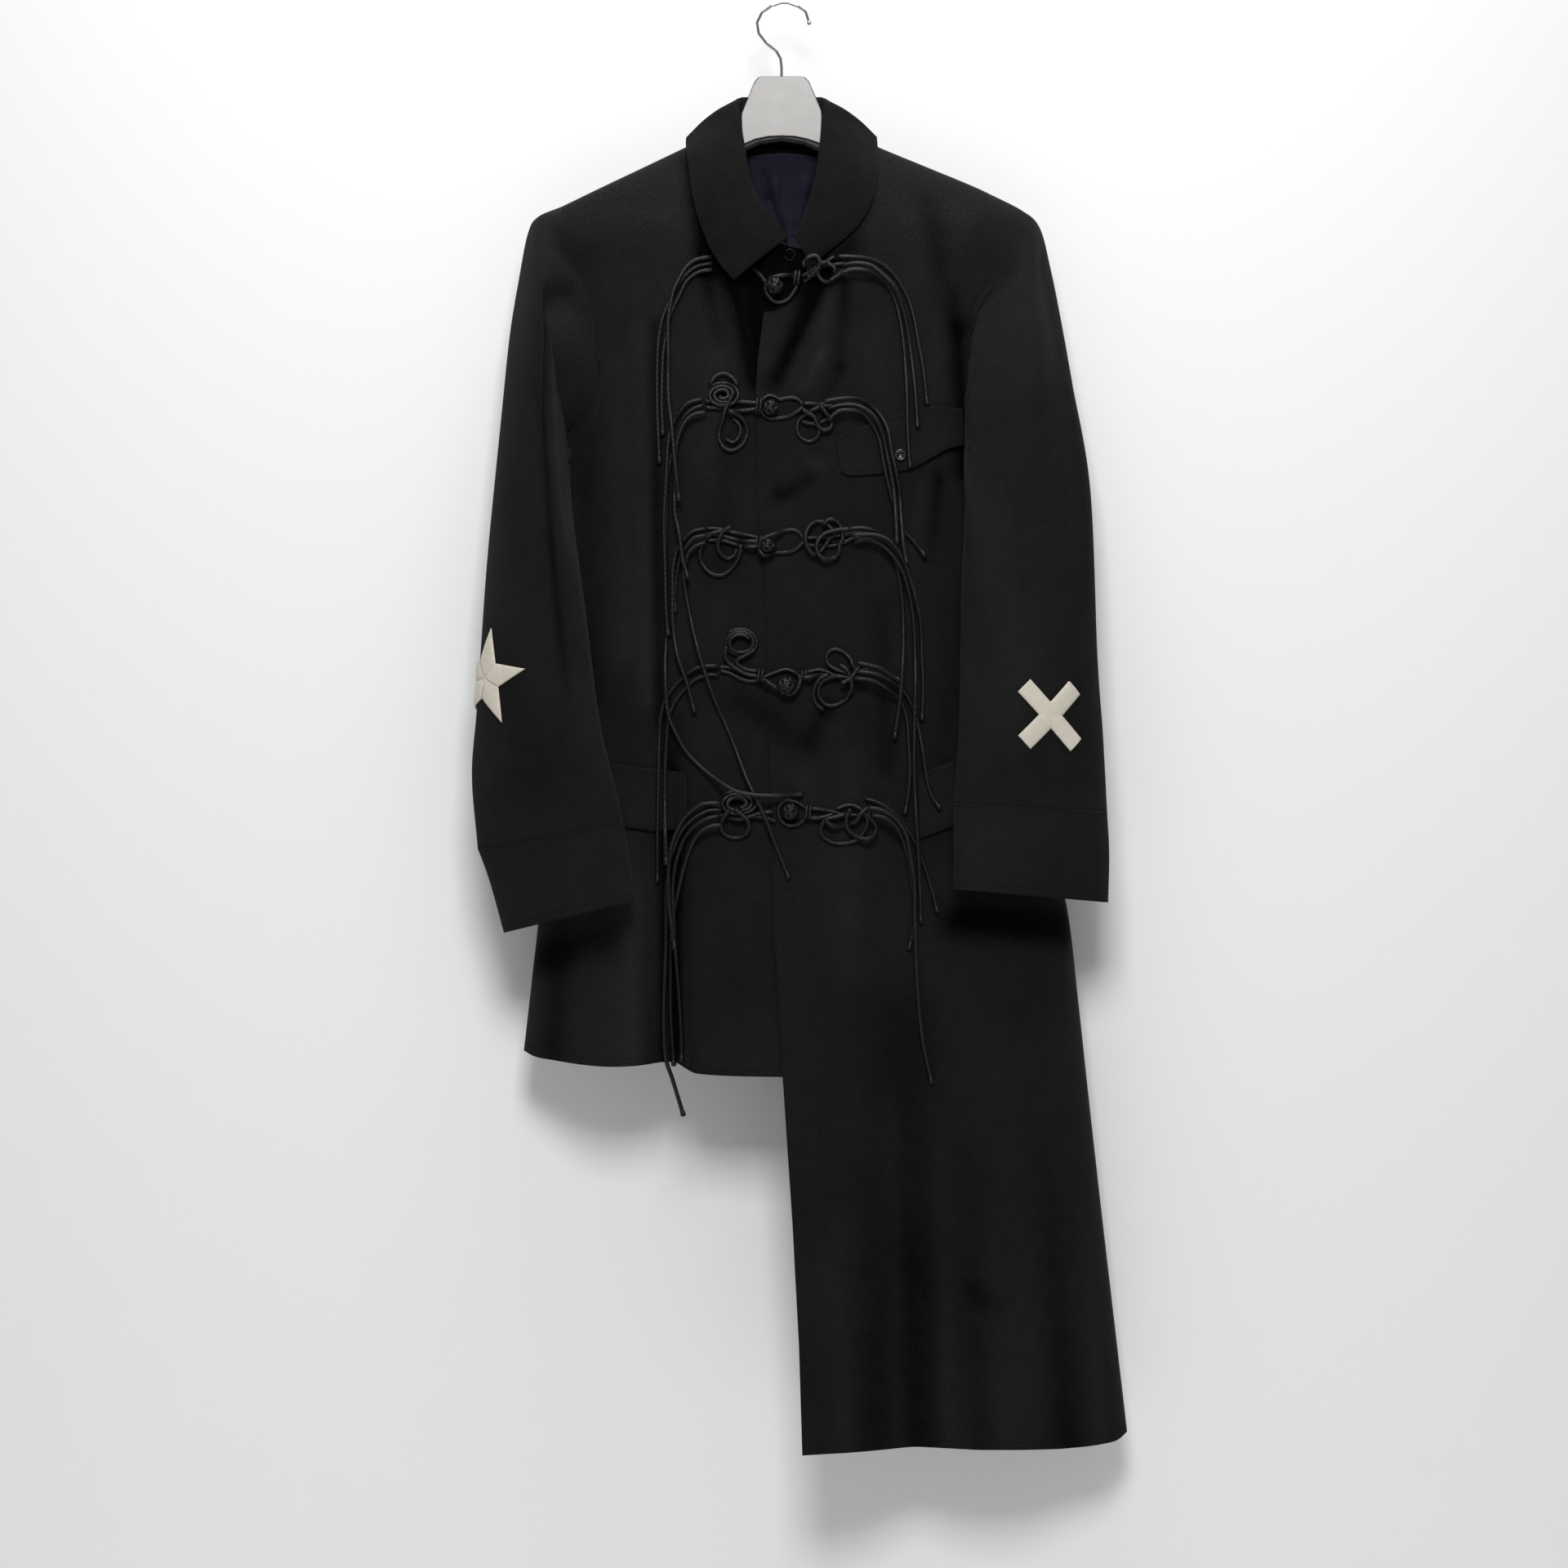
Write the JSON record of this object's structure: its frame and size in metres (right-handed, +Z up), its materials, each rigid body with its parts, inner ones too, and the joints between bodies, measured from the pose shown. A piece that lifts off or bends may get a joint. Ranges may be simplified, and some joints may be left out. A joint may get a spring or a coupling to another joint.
{
  "type": "asymmetric coat on a hanger",
  "caption": "Asymmetric wool coat with a short and a long front, corded frog closures and sleeve patches, hung on a plain clothes hanger.",
  "frame": {"origin": "inside top of the hanger's hook, where it hangs on a rail", "axes": "+Z up; the coat faces -Y; the wearer's left, the long side, lies at +X"},
  "size_m": [0.6097, 0.1671, 1.3458],
  "materials": {
    "coat_cloth": "matt black wool twill",
    "neck_lining": "navy satin lining",
    "cord": "braided black cord, slightly glossy",
    "patch_thread": "cream satin stitch",
    "button_horn": "polished black",
    "hook_steel": "polished wire",
    "hanger_body": "satin silver grey"
  },
  "bodies": {
    "root": {"back": "coat_cloth", "chest_button": "button_horn", "chest_flap": "coat_cloth", "collar": "coat_cloth", "cord_1_left_a": "cord", "cord_1_left_b": "cord", "cord_1_left_c": "cord", "cord_1_right_a": "cord", "cord_1_right_b": "cord", "cord_1_right_c": "cord", "cord_2_left_a": "cord", "cord_2_left_b": "cord", "cord_2_left_c": "cord", "cord_2_right_a": "cord", "cord_2_right_b": "cord", "cord_2_right_c": "cord", "cord_3_left_a": "cord", "cord_3_left_b": "cord", "cord_3_left_c": "cord", "cord_3_right_a": "cord", "cord_3_right_b": "cord", "cord_3_right_c": "cord", "cord_4_left_a": "cord", "cord_4_left_b": "cord", "cord_4_left_c": "cord", "cord_4_right_a": "cord", "cord_4_right_b": "cord", "cord_5_left_a": "cord", "cord_5_left_b": "cord", "cord_5_left_c": "cord", "cord_5_right_a": "cord", "cord_5_right_b": "cord", "cord_5_right_c": "cord", "cord_5_right_d": "cord", "cross_patch": "patch_thread", "cuff_left": "coat_cloth", "cuff_right": "coat_cloth", "frog_1_knot": "cord", "frog_1_loops": "cord", "frog_2_knot": "cord", "frog_2_loops": "cord", "frog_3_knot": "cord", "frog_3_loops": "cord", "frog_4_knot": "cord", "frog_4_loops": "cord", "frog_5_knot": "cord", "frog_5_loops": "cord", "front_left_long": "coat_cloth", "front_right_short": "coat_cloth", "hanger_body": "hanger_body", "hanger_hook": "hook_steel", "hanger_plate": "hanger_body", "hip_flap_left": "coat_cloth", "hip_flap_right": "coat_cloth", "neck_hook": "hook_steel", "neck_lining": "neck_lining", "sleeve_left": "coat_cloth", "sleeve_right": "coat_cloth", "star_patch": "patch_thread"}
  },
  "joints": []
}
